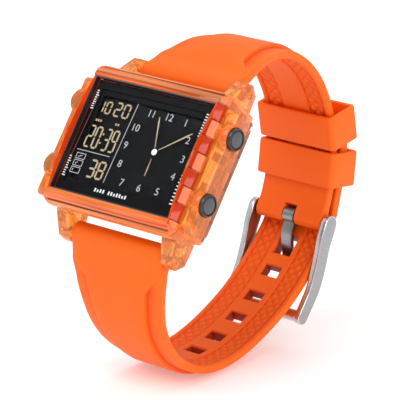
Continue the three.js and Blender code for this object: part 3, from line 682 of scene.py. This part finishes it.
dial_middle = Vector((4.9, 0.1))
number_places = [
    (5.0, 7.5), (9.5, 7.2), (11.7, 3.9), (12.3, 0.0), (11.7, -3.8), (9.5, -7.5),
    (4.8, -7.7), (0.2, -7.5), (-2.1, -3.9), (-2.6, 0.0), (-2.0, 3.9), (0.5, 7.4),
]
numbers = []
for i, (x, y) in enumerate(number_places):
    bpy.ops.object.text_add(location=(x, y, print_z))
    number = bpy.context.object
    number.data.body = str(i if i else 12)
    number.data.size = 2.15
    number.data.align_x = "CENTER"
    number.data.align_y = "CENTER"
    number.data.resolution_u = 3
    only(number)
    bpy.ops.object.convert(target="MESH")
    bpy.ops.object.transform_apply(location=True, rotation=True, scale=True)
    numbers.append(bpy.context.object)
dial_numbers = joined(numbers)
only(dial_numbers)
bpy.ops.object.mode_set(mode="EDIT")
bpy.ops.mesh.select_all(action="SELECT")
bpy.ops.mesh.remove_doubles(threshold=0.002)
bpy.ops.object.mode_set(mode="OBJECT")
thicken(dial_numbers)
dial_numbers.data.materials.append(number_ink)
place(dial_numbers, "dial_numbers", "watch", "display_face")

hands = []
for tip_x, tip_y, width, start in ((2.7, 7.2, 0.34, 0.9), (12.1, 5.5, 0.34, 1.0), (4.95, -5.0, 0.24, 1.4)):
    tip = Vector((tip_x, tip_y))
    ahead = (tip - dial_middle).normalized()
    root = dial_middle + start * ahead
    side = Vector((-ahead.y, ahead.x))
    shoulder = tip - 1.2 * ahead
    hands.append([
        tuple(root - 0.18 * width * side), tuple(shoulder - width / 2 * side),
        tuple(tip - width / 4 * side), tuple(tip + width / 4 * side),
        tuple(shoulder + width / 2 * side), tuple(root + 0.18 * width * side),
    ])
dial_hands = flat_piece(hands)
dial_hands.data.materials.append(segment_ink)
place(dial_hands, "dial_hands", "watch", "display_face")


def round_flat(centre, radius, count=28):
    """A round outline of this many points."""
    turns = [2 * math.pi * i / count for i in range(count)]
    return [(centre.x + radius * math.cos(a), centre.y + radius * math.sin(a)) for a in turns]


boss = flat_piece([round_flat(dial_middle, 0.66)])
boss.data.materials.append(white_ink)
place(boss, "dial_boss", "watch", "display_face")

# ---- Pushers: four domed heads in black rings, on stems that slide in the guards ----
# Each is turned in one piece: a black lacquered ring and a bare gun metal dome, faintly brushed.
guard_face = 20.3
head_height = 1.6
head_proud = 0.8
pusher_z = -3.8
stem_reach = 14.7


def skin(rings):
    """A closed body through rings of points, each with as many points, capped at both ends."""
    around, along = len(rings[0]), len(rings)
    bpy.ops.mesh.primitive_grid_add(x_subdivisions=around, y_subdivisions=along - 1)
    piece = bpy.context.object
    for i, vertex in enumerate(piece.data.vertices):
        vertex.co = rings[i // (around + 1)][i % (around + 1) % around]
    bpy.ops.object.mode_set(mode="EDIT")
    bpy.ops.mesh.select_all(action="SELECT")
    bpy.ops.mesh.remove_doubles(threshold=0.0005)
    bpy.ops.mesh.select_all(action="SELECT")
    bpy.ops.mesh.fill_holes(sides=0)
    bpy.ops.mesh.select_all(action="SELECT")
    bpy.ops.mesh.normals_make_consistent(inside=False)
    bpy.ops.object.mode_set(mode="OBJECT")
    return piece


def black_ring_material():
    """Black lacquer, a little lighter grey on its edges."""
    material, shader = new_material("black ring", (0.012, 0.012, 0.014), 0.22)
    rough_up(material, shader, 5000, 0.000006)
    edge_grey = blend_colours(material, edges(material, 0.7), (0.012, 0.012, 0.014), (0.09, 0.09, 0.1))
    feed(material, edge_grey, shader.inputs["Base Color"])
    return material


def brushed_metal(name, dark, light, roughness, fineness=900):
    """Metal with fine brush lines across the watch, a little uneven in colour and gloss."""
    material, shader = new_material(name, light, roughness, 1.0)
    place_in_space = add(material, "TexCoord").outputs["Object"]
    stretch = add(material, "Mapping", Vector=place_in_space, Scale=(0.06, 1, 1))
    brush_lines = add(material, "TexNoise", Vector=stretch.outputs[0], Scale=6.0 * fineness, Detail=5.0)
    value = brush_lines.outputs["Fac"]
    feed(material, blend_colours(material, value, dark, light), shader.inputs["Base Color"])
    feed(material, sums(material, "ADD", sums(material, "MULTIPLY", value, 0.25), roughness - 0.1),
         shader.inputs["Roughness"])
    bump = add(material, "Bump", Height=value, Distance=0.000003)
    feed(material, bump.outputs["Normal"], shader.inputs["Normal"])
    return material


black_ring = black_ring_material()
gun_metal = brushed_metal("gun metal dome", (0.05, 0.05, 0.052), (0.2, 0.2, 0.205), 0.32)

head_in = guard_face + head_proud - head_height
top = guard_face + head_proud
profile = [
    (stem_reach, 0.02), (stem_reach, 0.5), (stem_reach + 0.1, 0.6), (head_in, 0.6), (head_in, 2.2),
    (head_in + 0.1, 2.3), (top - 0.3, 2.3), (top - 0.1, 2.2), (top - 0.04, 2.05), (top - 0.08, 1.9),
    (top - 0.3, 1.82), (top - 0.32, 1.72), (top - 0.14, 1.62), (top - 0.1, 1.3), (top - 0.05, 0.9),
    (top, 0.45), (top, 0.02),
]
turns = [2 * math.pi * i / 40 for i in range(40)]
for label, side, y in (("2h", 1, 7), ("4h", 1, -7), ("8h", -1, -7), ("10h", -1, 7)):
    turned = []
    for x, radius in profile:
        turned.append([
            (side * x, y + radius * math.cos(a), pusher_z + radius * math.sin(a)) for a in turns
        ])
    pusher = skin(turned)
    pusher.data.materials.append(black_ring)
    pusher.data.materials.append(gun_metal)
    for face in pusher.data.polygons:
        middle = face.center
        if math.hypot(middle.y - y, middle.z - pusher_z) < 1.7 or abs(middle.x) < head_in:
            face.material_index = 1
    smooth(pusher, 40)
    place(pusher, "pusher_head_" + label, "pusher_" + label, "gun_metal", "pusher_" + label)

# ---- Strap: two halves moulded in matte orange silicone ----
# Outside, a raised middle panel starts just past the lugs, between lower side bands. Inside, two bands
# of small diamonds grip the wrist, beside a smooth one. The long half has square holes for the tang.
strap_half_thickness = 1.295
bar_y, bar_z = 17.65, -8.8
pin_y, pin_z = 7.4, -56.0
bar_eye, pin_eye = 2.1, 1.6  # half as thick as the ends, round the bars
bar_hole = 0.85
seat_gap = 0.3
tang_half_width = 1.35
station_step = 0.32

short_points = [
    (bar_y, bar_z), (21.4, -10.7), (25.3, -13.3), (29.2, -17.2), (32.2, -23), (33.1, -28.8), (32.7, -33.2),
    (31.4, -37.8), (28.8, -42.8), (25.2, -47.2), (20.6, -50.9), (15.4, -53.7), (10.8, -55.3),
    (pin_y, pin_z),
]


def strap_run(points, step):
    """Even steps along a smooth line through points of y and z: a place and a direction at each."""
    line = [Vector(p) for p in points]
    line = [2 * line[0] - line[1], *line, 2 * line[-1] - line[-2]]
    fine = []
    for a, b, c, d in zip(line, line[1:], line[2:], line[3:]):
        ab, bc, cd = math.sqrt((b - a).length), math.sqrt((c - b).length), math.sqrt((d - c).length)
        leave = ((b - a) / ab - (c - a) / (ab + bc) + (c - b) / bc) * bc
        arrive = ((c - b) / bc - (d - b) / (bc + cd) + (d - c) / cd) * bc
        for i in range(30):
            t = i / 30
            fine.append(
                b * (2 * t ** 3 - 3 * t ** 2 + 1) + leave * (t ** 3 - 2 * t ** 2 + t)
                + c * (3 * t ** 2 - 2 * t ** 3) + arrive * (t ** 3 - t ** 2)
            )
    fine.append(line[-2])
    length = sum((q - p).length for p, q in zip(fine, fine[1:]))
    count = round(length / step)
    stations, gone, target = [], 0.0, 0.0
    for p, q in zip(fine, fine[1:]):
        stretch = (q - p).length
        while target <= gone + stretch + 1e-9 and len(stations) <= count:
            stations.append((p.lerp(q, (target - gone) / stretch), (q - p).normalized()))
            target += length / count
        gone += stretch
    return stations, length


def at_share(stations, share):
    """The station this share of the way along."""
    return stations[round(share * (len(stations) - 1))]


def eased(value, low, high):
    """0 below low, 1 above high, and smooth between them."""
    t = min(max((value - low) / (high - low), 0), 1)
    return t * t * (3 - 2 * t)


plan = [(-11.1, 11.88), (-17.8, 10.45), (-28.8, 9.25), (-42.8, 8.78), (-90, 8.78)]


def strap_half_width(z):
    """Half the strap's width at this height below the dial."""
    if z >= plan[0][0]:
        return plan[0][1]
    for (z0, w0), (z1, w1) in zip(plan, plan[1:]):
        if z >= z1:
            return w0 + (w1 - w0) * (z0 - z) / (z0 - z1)
    return plan[-1][1]


def diamonds(x, s):
    """Height of the grip pattern at this place across and along the strap."""
    return 0.4 * abs(math.sin(math.pi * (x + s) / 2.3)) * abs(math.sin(math.pi * (x - s) / 2.3))


def strap_section(width, half, panel, grip, s):
    """The strap's outline at one place, from its outer middle all the way round: x and height."""
    edge = width - 1.0 - 2.7 * panel
    thin = min(half / 1.3, 1)
    step = 0.65 * panel
    outer = [
        (0, half), (edge * 0.5, half), (edge - 0.55, half), (edge - 0.15, half - 0.1 * thin),
        (edge, half - 0.16 * thin), (edge + 0.2, half - (0.24 + step) * thin),
        (width - 0.45, half - (0.25 + step) * thin), (width - 0.15, half - (0.4 + 0.9 * step) * thin),
        (width, half - (0.75 + 0.6 * step) * thin),
    ]
    start, stop = width - 1.9, 3.9
    bands = []
    for i in range(14):
        x = start + (stop - start) * i / 13
        bands.append((x, -half + grip * (0.4 - diamonds(x, s))))
    inner = [
        (width, -half + 0.6 * thin), (width - 0.12, -half + 0.2 * thin), (width - 0.4, -half),
        (width - 0.95, -half), (width - 1.2, -half + 0.38 * grip), (width - 1.6, -half + 0.42 * grip),
        *bands,
        (3.55, -half + 0.4 * grip), (3.3, -half), (0, -half),
    ]
    right = outer + inner
    left = [(-x, h) for x, h in reversed(right[1:-1])]
    return right + left


def strap_rings(stations, length, outward, eye, last_eye=None, tip=0.0):
    """Rings of points for one strap half. The first end, and the last if it has an eye, is round."""
    rings = []
    step = length / (len(stations) - 1)

    def ring(centre, ahead, width, half, panel, grip, s, squeeze=1.0):
        normal = outward * Vector((-ahead.y, ahead.x))
        points = []
        for x, h in strap_section(width, half, panel, grip, s):
            at = centre + normal * h
            points.append((x * squeeze, at.x, at.y))
        rings.append(points)

    first, first_ahead = stations[0]
    for i in range(7):
        angle = math.pi / 2 * (i + 0.35) / 7
        back = eye * math.cos(angle)
        thin = eye * math.sin(angle)
        ring(first - back * first_ahead, first_ahead, plan[0][1], max(thin, 0.6), 0, 0, 0)
    for i, (centre, ahead) in enumerate(stations):
        s = i * step
        half = strap_half_thickness + (eye - strap_half_thickness) * (1 - eased(s, 0, 4.6))
        if last_eye:
            half += (last_eye - strap_half_thickness) * eased(s, length - 3.5, length)
        panel = eased(s, 4.6, 8.6)
        grip = eased(s, 7, 9) * (1 - eased(s, length - 8.8, length - 7.8))
        squeeze = 1.0
        if tip:
            near_tip = max(s - (length - tip), 0) / tip
            squeeze = max(math.sqrt(max(1 - near_tip ** 2, 0)), 0.3)
            panel *= 1 - eased(s, length - 2 * tip, length - 1.3 * tip)
        ring(centre, ahead, strap_half_width(centre.y), half, panel, grip, s, squeeze)
    if last_eye:
        last, last_ahead = stations[-1]
        for i in range(7):
            angle = math.pi / 2 * (7 - i - 0.65) / 7
            past = last_eye * math.cos(angle)
            thin = last_eye * math.sin(angle)
            ring(last + past * last_ahead, last_ahead, plan[-1][1], max(thin, 0.6), 0, 0, length)
    return rings


def cut(piece, others, operation="DIFFERENCE"):
    """Cuts these pieces out of a piece, or welds them onto it, and clears them away."""
    for other in others:
        only(piece)
        knife = piece.modifiers.new("cut", "BOOLEAN")
        knife.operation = operation
        knife.solver = "EXACT"
        knife.object = other
        bpy.ops.object.modifier_apply(modifier="cut")
        bpy.data.objects.remove(other)


def round_bar(radius, half_length, y, z, count=32):
    """A round bar along x, through this place."""
    bpy.ops.mesh.primitive_cylinder_add(
        vertices=count, radius=radius, depth=2 * half_length,
        location=(0, y, z), rotation=(0, math.pi / 2, 0)
    )
    made = bpy.context.object
    bpy.ops.object.transform_apply(location=True, rotation=True, scale=True)
    return made


def silicone_material():
    """Matte silicone: even orange with a soft bloom, a dusty sheen, painted highlights on its edges and
    painted shade in its hollows.
    """
    material, shader = new_material("orange silicone", (0.93, 0.12, 0.012), 0.55)
    shader.inputs["Specular IOR Level"].default_value = 0.22
    place_in_space = add(material, "TexCoord").outputs["Object"]
    bloom = add(material, "TexNoise", Vector=place_in_space, Scale=90.0, Detail=3.0)
    base = blend_colours(material, bloom.outputs["Fac"], (0.93, 0.125, 0.004), (0.98, 0.15, 0.005))
    # Painted highlight: outside edges are lightened towards a paler orange.
    painted_edge_highlight = sums(material, "MULTIPLY", edges(material, 0.62), 0.35)
    base = blend_colours(material, painted_edge_highlight, base, (1.0, 0.2, 0.03))
    # Painted shade: hollows, where pointiness is low, darken to a deep red.
    pointiness = add(material, "NewGeometry").outputs["Pointiness"]
    painted_hollow_shade = add(material, "MapRange", Value=pointiness, From_Min=0.495, From_Max=0.44, To_Max=0.7)
    base = blend_colours(material, painted_hollow_shade.outputs[0], base, (0.6, 0.03, 0.002))
    feed(material, base, shader.inputs["Base Color"])
    fine = rough_up(material, shader, 7000, 0.00001)
    gloss = sums(material, "ADD", sums(material, "MULTIPLY", fine, 0.2), 0.42)
    feed(material, gloss, shader.inputs["Roughness"])
    shader.inputs["Subsurface Weight"].default_value = 0.12
    shader.inputs["Subsurface Radius"].default_value = (0.003, 0.0008, 0.0003)
    return material


silicone = silicone_material()
# Painted shade: the walls of the tang holes get a darker, uneven red silicone for the shade inside them.
hole_shade_silicone, shader = new_material("silicone painted dark in the holes", (0.45, 0.03, 0.004), 0.6)
rough_up(hole_shade_silicone, shader, 7000, 0.00001)
hole_shade_noise = grain(hole_shade_silicone, 500, 0.00001).outputs["Value"]
feed(hole_shade_silicone, blend_colours(hole_shade_silicone, hole_shade_noise, (0.3, 0.016, 0.002), (0.5, 0.035, 0.004)),
     shader.inputs["Base Color"])

short_run, short_length = strap_run(short_points, station_step)
strap_short = skin(strap_rings(short_run, short_length, 1, bar_eye, last_eye=pin_eye))
bpy.ops.mesh.primitive_cube_add(size=1, location=(0, pin_y - 3, pin_z))
notch = bpy.context.object
notch.scale = (2 * (tang_half_width + seat_gap), 10, 10)
bpy.ops.object.transform_apply(location=True, rotation=True, scale=True)
cut(strap_short, [round_bar(bar_hole, 20, bar_y, bar_z), round_bar(bar_hole, 20, pin_y, pin_z), notch])
smooth(strap_short, 30)
strap_short.data.materials.append(silicone)
place(strap_short, "strap_half_short", "watch", "strap_silicone", "strap_short")


def over_short(share):
    """A point of the tail's line, which lies on the short half."""
    centre, ahead = at_share(short_run, share)
    return centre + (2 * strap_half_thickness + seat_gap) * Vector((-ahead.y, ahead.x))


long_points = [
    (-bar_y, bar_z), (-22, -10.9), (-26.7, -14.5), (-31, -19.8), (-33.3, -25.4), (-33.9, -31.5),
    (-32.9, -37.2), (-30.5, -41.9), (-27.2, -45.9), (-23, -49.4), (-18.3, -52.4), (-12.9, -55.2),
    (-7.4, -57.2), (-2.5, -58.4), (2.4, -59.3), (6.8, pin_z - pin_eye - 1.3 - 2 * seat_gap),
    *[tuple(over_short(share)) for share in (0.91, 0.86, 0.8, 0.74, 0.69, 0.665)],
]
long_run, long_length = strap_run(long_points, station_step)
strap_long = skin(strap_rings(long_run, long_length, -1, bar_eye, tip=7.0))

hole_pitch = 6.85
tang_hole_y = 1.3
tang_station = max(
    (i for i in range(len(long_run) // 2, len(long_run)) if long_run[i][0].x < tang_hole_y), default=0
)
station_gap = long_length / (len(long_run) - 1)
holes = []
hole_spots = []
for i in range(6):
    centre, ahead = long_run[round(tang_station - i * hole_pitch / station_gap)]
    normal = Vector((ahead.y, -ahead.x))
    half_along = 2.2 if i == 0 else 1.25
    hole_spots.append((centre, ahead, normal))
    hole_rings = []
    for height, spread in ((-2.2, 1.1), (-1.35, 0.28), (-0.95, 0.0), (1.0, 0.0), (1.35, 0.1), (2.2, 0.3)):
        hx, hs = 2.1 + spread, half_along + spread
        outline = [(hx, hs), (-hx, hs), (-hx, -hs), (hx, -hs)]
        hole_rings.append([
            (x, *(centre + along * ahead + height * normal)) for x, along in outline
        ])
    holes.append(skin(hole_rings))
cut(strap_long, [round_bar(bar_hole, 20, -bar_y, bar_z), *holes])
smooth(strap_long, 30)
strap_long.data.materials.append(silicone)
strap_long.data.materials.append(hole_shade_silicone)
# Faces in and around the tang holes take the painted shade.
for face in strap_long.data.polygons:
    across = Vector(face.center.yz)
    for centre, ahead, normal in hole_spots:
        near_hole = abs((across - centre).dot(ahead)) < 2.3 and abs((across - centre).dot(normal)) < 0.98
        if near_hole and abs(face.center.x) < 2.3:
            face.material_index = 1
place(strap_long, "strap_half_long", "watch", "strap_silicone", "strap_long")

# ---- Keepers: two wide silicone loops that hold the tail down ----
# The lower one sits by the buckle. Both slide along the strap.
keeper_half_wide, keeper_half_deep = 10.1, 4.3
keeper_corner = 1.15
wall_outline = [
    (0, -3.35), (-0.1, -3.6), (-0.32, -3.7), (-0.68, -3.7), (-0.9, -3.6), (-1, -3.35),
    (-1, 3.35), (-0.9, 3.6), (-0.68, 3.7), (-0.32, 3.7), (-0.1, 3.6), (0, 3.35),
]
for label, y in (("upper", 25.2), ("lower", 18.3)):
    lower_half = short_run[len(short_run) // 2:]
    centre, ahead = min(lower_half, key=lambda station: abs(station[0].x - y))
    normal = Vector((-ahead.y, ahead.x))
    middle = centre + 1.45 * normal
    loops = []
    for inset, along in [*wall_outline, wall_outline[0]]:
        loop = []
        for quarter in range(4):
            side_x = (1, -1, -1, 1)[quarter]
            side_z = (1, 1, -1, -1)[quarter]
            for k in range(8):
                a = math.pi / 2 * (quarter + k / 7)
                x = side_x * (keeper_half_wide - keeper_corner) + (keeper_corner + inset) * math.cos(a)
                h = side_z * (keeper_half_deep - keeper_corner) + (keeper_corner + inset) * math.sin(a)
                at = middle + along * ahead + h * normal
                loop.append((x, at.x, at.y))
        loops.append(loop)
    keeper = skin(loops)
    smooth(keeper, 40)
    keeper.data.materials.append(silicone)
    place(keeper, "keeper_loop_" + label, "keeper_" + label, "strap_silicone", "keeper_" + label)

# ---- Buckle: a steel frame of two arms and a bar, with a flat tang on the same spring bar ----
# The arms are stamped from sheet, widest round the pin, with polished edges and brushed faces.
arm_in = 8.8 + seat_gap
arm_thick = 1.4
cross_y, cross_z = -12.4, -59.2
cross_radius = 1.25
tang_half_thick = 0.55
steel_satin = brushed_metal("satin steel", (0.24, 0.245, 0.25), (0.5, 0.51, 0.52), 0.3)
steel_dark = brushed_metal("brushed tang steel", (0.16, 0.165, 0.17), (0.42, 0.43, 0.44), 0.3)
steel_bright = brushed_metal("polished steel", (0.6, 0.61, 0.62), (0.8, 0.81, 0.82), 0.2)


def stamped(stations, half_depth, x_from, x_to, edge):
    """A plate cut to a line's run, this deep to each side of it, with round ends and softened edges."""
    near, far = [], []
    last = len(stations) - 1
    for i, (centre, ahead) in enumerate(stations):
        normal = Vector((-ahead.y, ahead.x)) * half_depth(i / last)
        near.append(centre + normal)
        far.append(centre - normal)

    def cap(centre, ahead, radius, sign):
        normal = Vector((-ahead.y, ahead.x))
        return [
            centre + sign * radius * (math.cos(a) * normal + math.sin(a) * ahead)
            for a in (math.pi * k / 12 for k in range(1, 12))
        ]

    outline = near + cap(*stations[-1], half_depth(1), 1) + far[::-1] + cap(*stations[0], half_depth(0), -1)
    bpy.ops.mesh.primitive_circle_add(vertices=len(outline), fill_type="NGON")
    plate = bpy.context.object
    for vertex, point in zip(plate.data.vertices, outline):
        vertex.co = (x_from, point.x, point.y)
    bpy.ops.object.mode_set(mode="EDIT")
    bpy.ops.mesh.select_all(action="SELECT")
    bpy.ops.mesh.extrude_region_move(TRANSFORM_OT_translate={"value": (x_to - x_from, 0, 0)})
    bpy.ops.mesh.select_all(action="SELECT")
    bpy.ops.mesh.normals_make_consistent(inside=False)
    bpy.ops.object.mode_set(mode="OBJECT")
    round_edges(plate, edge, 3, 60)
    return plate


arm_points = [(pin_y, pin_z), (3.6, -56.7), (-1, -58.2), (-6, -59.3), (cross_y, cross_z)]
arm_run = strap_run(arm_points, 0.7)[0]


def arm_depth(share):
    """Half the arm's depth: full round the pin, then a waist, then even to the bar."""
    return 1.95 - 0.25 * eased(share, 0.1, 0.3) - 0.15 * eased(share, 0.5, 1.0)


right_arm = stamped(arm_run, arm_depth, arm_in, arm_in + arm_thick, 0.28)
left_arm = stamped(arm_run, arm_depth, -arm_in - arm_thick, -arm_in, 0.28)
cut(right_arm, [left_arm, round_bar(cross_radius, arm_in + 0.5, cross_y, cross_z, 40)], "UNION")
cut(right_arm, [round_bar(0.55, arm_in + 1.0, pin_y, pin_z, 24)])
buckle = right_arm
buckle.data.materials.append(steel_satin)
buckle.data.materials.append(steel_bright)
for face in buckle.data.polygons:
    centre = face.center
    by_pin = math.hypot(centre.y - pin_y, centre.z - pin_z) < 2.2
    if abs(face.normal.x) < 0.85 or by_pin:
        face.material_index = 1
smooth(buckle, 30)
place(buckle, "buckle_frame_steel", "buckle_frame", "buckle_steel", "buckle_frame")

tang_points = [
    (pin_y - 1.2, pin_z - 0.2), (3.9, -56.8), (2.1, -57.9), (0.6, -59.4), (-0.9, -60.8), (-3.2, -61.5),
    (-8, -61.6), (cross_y - 1.4, cross_z - cross_radius - tang_half_thick - seat_gap),
]
tang_run = strap_run(tang_points, 0.35)[0]


def tang_depth(share):
    """Half the tang's thickness, which thins at its tip."""
    return tang_half_thick - 0.2 * eased(share, 0.93, 1.0)


tang = stamped(tang_run, tang_depth, -tang_half_width, tang_half_width, 0.14)
cut(tang, [round_bar(1.65, tang_half_width, pin_y, pin_z, 40)], "UNION")
cut(tang, [round_bar(bar_hole, 5, pin_y, pin_z)])
tang.data.materials.append(steel_dark)
smooth(tang, 35)
place(tang, "tang_blade", "buckle_tang", "buckle_steel", "buckle_tang")

# ---- Back, screws, springs and the works: each in its own metal, plastic or board ----
# They are hidden or nearly so, except the brushed back and its four screws.
back_steel = brushed_metal("brushed back", (0.1, 0.1, 0.105), (0.26, 0.26, 0.265), 0.32)
small_steel = brushed_metal("small steel", (0.5, 0.5, 0.51), (0.75, 0.75, 0.76), 0.25)
case_back = worked_copy("case_back", "case_back_plate", 0.2, 3, 40)
case_back.data.materials.append(back_steel)
case_back.data.materials.append(case_plastic)
out_of_back = (turn @ Vector((0, 0, 1))).normalized()
for face in case_back.data.polygons:
    if abs(face.normal.dot(out_of_back)) < 0.6:
        face.material_index = 1
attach(case_back, "watch")
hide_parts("case_back")
finish_node([f"case_screw_{i}" for i in range(1, 5)], small_steel)
for kind in ("tube", "clip", "spring"):
    finish_node([f"pusher_{kind}_{spot}" for spot in pusher_spots], small_steel)
for name in ("spring_bar_12h", "spring_bar_6h", "buckle_bar"):
    finish_node([name + "_tube", name + "_tip_right", name + "_tip_left"], small_steel)
finish_node(["battery", "battery_clip", "quartz_can"], small_steel)

brass = brushed_metal("brass", (0.45, 0.3, 0.1), (0.62, 0.45, 0.18), 0.3)
finish_node(["buzzer_disc", "buzzer_spring"], brass)

black_plastic, shader = new_material("black plastic", (0.014, 0.014, 0.015), 0.45)
plastic_grain = rough_up(black_plastic, shader, 5000, 0.00002)
plastic_tint = blend_colours(black_plastic, plastic_grain, (0.01, 0.01, 0.011), (0.03, 0.03, 0.032))
feed(black_plastic, plastic_tint, shader.inputs["Base Color"])
finish_node(["module_frame", "driver_chip"], black_plastic)

board, shader = new_material("green board", (0.02, 0.12, 0.05), 0.35)
tracks = add(
    board, "TexBrick", Vector=dial_axes(board)[0], Scale=0.6, Mortar_Size=0.03,
    Color1=(0.01, 0.10, 0.035, 1), Color2=(0.015, 0.14, 0.05, 1), Mortar=(0.05, 0.26, 0.09, 1)
)
feed(board, tracks.outputs["Color"], shader.inputs["Base Color"])
finish_node(["circuit_board"], board)

light_sheet, shader = new_material("light sheet", (0.7, 0.74, 0.68), 0.5)
sheet_grain = grain(light_sheet, 9000, 0.00001).outputs["Value"]
sheet_tint = blend_colours(light_sheet, sheet_grain, (0.62, 0.67, 0.6), (0.78, 0.81, 0.75))
feed(light_sheet, sheet_tint, shader.inputs["Base Color"])
finish_node(["backlight_sheet"], light_sheet)
